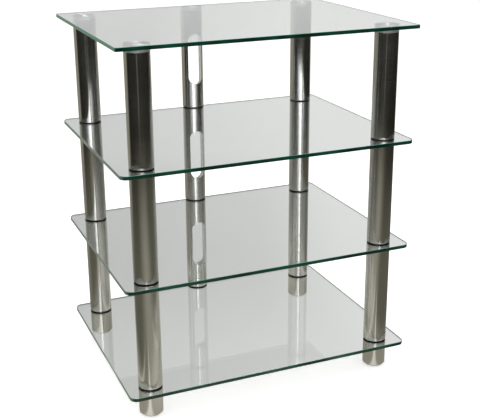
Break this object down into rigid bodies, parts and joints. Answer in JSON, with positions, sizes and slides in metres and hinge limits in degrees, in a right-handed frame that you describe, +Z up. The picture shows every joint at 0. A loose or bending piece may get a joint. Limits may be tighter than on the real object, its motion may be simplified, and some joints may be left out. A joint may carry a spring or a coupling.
{
  "type": "audio equipment rack",
  "caption": "Open audio rack: flat clear glass shelves on round steel corner columns with levelling feet, and a slotted cable column behind the middle of the back edge.",
  "frame": {"origin": "on the floor under the middle of the whole rack, cable column included", "axes": "+Z up; the front faces -Y; +X is the right side seen from the front"},
  "size_m": [0.66, 0.526, 0.8015],
  "materials": {
    "clear_glass": "clear toughened float glass, ground and polished edges",
    "satin_steel": "satin polished steel tube",
    "turned_aluminium": "turned faces, clear anodised",
    "black_rubber": "moulded, matt",
    "zinc_steel": "zinc plated, dull"
  },
  "bodies": {
    "frame": {"glass_shelf_bottom": "clear_glass", "glass_shelf_lower": "clear_glass", "glass_shelf_upper": "clear_glass", "glass_shelf_top": "clear_glass", "column_tube_front_left_bottom": "satin_steel", "column_tube_front_left_middle": "satin_steel", "column_tube_front_left_top": "satin_steel", "column_tube_front_right_bottom": "satin_steel", "column_tube_front_right_middle": "satin_steel", "column_tube_front_right_top": "satin_steel", "column_tube_rear_left_bottom": "satin_steel", "column_tube_rear_left_middle": "satin_steel", "column_tube_rear_left_top": "satin_steel", "column_tube_rear_right_bottom": "satin_steel", "column_tube_rear_right_middle": "satin_steel", "column_tube_rear_right_top": "satin_steel", "cable_tube_bottom": "satin_steel", "cable_tube_middle": "satin_steel", "cable_tube_top": "satin_steel", "foot_tube_front_left": "satin_steel", "foot_tube_front_right": "satin_steel", "foot_tube_rear_left": "satin_steel", "foot_tube_rear_right": "satin_steel", "glass_disc_front_left": "turned_aluminium", "glass_disc_front_right": "turned_aluminium", "glass_disc_rear_left": "turned_aluminium", "glass_disc_rear_right": "turned_aluminium", "glass_disc_cable_column": "turned_aluminium", "grommet_front_left_bottom": "black_rubber", "grommet_front_left_lower": "black_rubber", "grommet_front_left_upper": "black_rubber", "grommet_front_right_bottom": "black_rubber", "grommet_front_right_lower": "black_rubber", "grommet_front_right_upper": "black_rubber", "grommet_rear_left_bottom": "black_rubber", "grommet_rear_left_lower": "black_rubber", "grommet_rear_left_upper": "black_rubber", "grommet_rear_right_bottom": "black_rubber", "grommet_rear_right_lower": "black_rubber", "grommet_rear_right_upper": "black_rubber", "cable_bush_bottom": "black_rubber", "cable_bush_lower": "black_rubber", "cable_bush_upper": "black_rubber", "joining_stud_front_left_lower": "zinc_steel", "joining_stud_front_left_upper": "zinc_steel", "joining_stud_front_right_lower": "zinc_steel", "joining_stud_front_right_upper": "zinc_steel", "joining_stud_rear_left_lower": "zinc_steel", "joining_stud_rear_left_upper": "zinc_steel", "joining_stud_rear_right_lower": "zinc_steel", "joining_stud_rear_right_upper": "zinc_steel"},
    "pad_front_left": {"levelling_pad_front_left": "zinc_steel"},
    "pad_front_right": {"levelling_pad_front_right": "zinc_steel"},
    "pad_rear_left": {"levelling_pad_rear_left": "zinc_steel"},
    "pad_rear_right": {"levelling_pad_rear_right": "zinc_steel"},
    "spindle_front_left": {"levelling_spindle_front_left": "zinc_steel"},
    "spindle_front_right": {"levelling_spindle_front_right": "zinc_steel"},
    "spindle_rear_left": {"levelling_spindle_rear_left": "zinc_steel"},
    "spindle_rear_right": {"levelling_spindle_rear_right": "zinc_steel"}
  },
  "joints": [
    {"name": "level_front_left", "type": "slide", "parent": "frame", "child": "pad_front_left", "axis": [0, 0, 1], "range_m": [-0.01, 0.004]},
    {"name": "level_front_right", "type": "slide", "parent": "frame", "child": "pad_front_right", "axis": [0, 0, 1], "range_m": [-0.01, 0.004]},
    {"name": "level_rear_left", "type": "slide", "parent": "frame", "child": "pad_rear_left", "axis": [0, 0, 1], "range_m": [-0.01, 0.004]},
    {"name": "level_rear_right", "type": "slide", "parent": "frame", "child": "pad_rear_right", "axis": [0, 0, 1], "range_m": [-0.01, 0.004]},
    {"name": "turn_front_left", "type": "hinge", "parent": "pad_front_left", "child": "spindle_front_left", "pos_m": [-0.275, -0.218, 0.0103], "axis": [0, 0, 1], "range_deg": [-2400.1, 960.1]},
    {"name": "turn_front_right", "type": "hinge", "parent": "pad_front_right", "child": "spindle_front_right", "pos_m": [0.275, -0.218, 0.0103], "axis": [0, 0, 1], "range_deg": [-2400.1, 960.1]},
    {"name": "turn_rear_left", "type": "hinge", "parent": "pad_rear_left", "child": "spindle_rear_left", "pos_m": [-0.275, 0.192, 0.0103], "axis": [0, 0, 1], "range_deg": [-2400.1, 960.1]},
    {"name": "turn_rear_right", "type": "hinge", "parent": "pad_rear_right", "child": "spindle_rear_right", "pos_m": [0.275, 0.192, 0.0103], "axis": [0, 0, 1], "range_deg": [-2400.1, 960.1]}
  ],
  "couplings": [
    {"joint": "turn_front_left", "follows": "level_front_left", "rad_per_m": 4188.8},
    {"joint": "turn_front_right", "follows": "level_front_right", "rad_per_m": 4188.8},
    {"joint": "turn_rear_left", "follows": "level_rear_left", "rad_per_m": 4188.8},
    {"joint": "turn_rear_right", "follows": "level_rear_right", "rad_per_m": 4188.8}
  ]
}
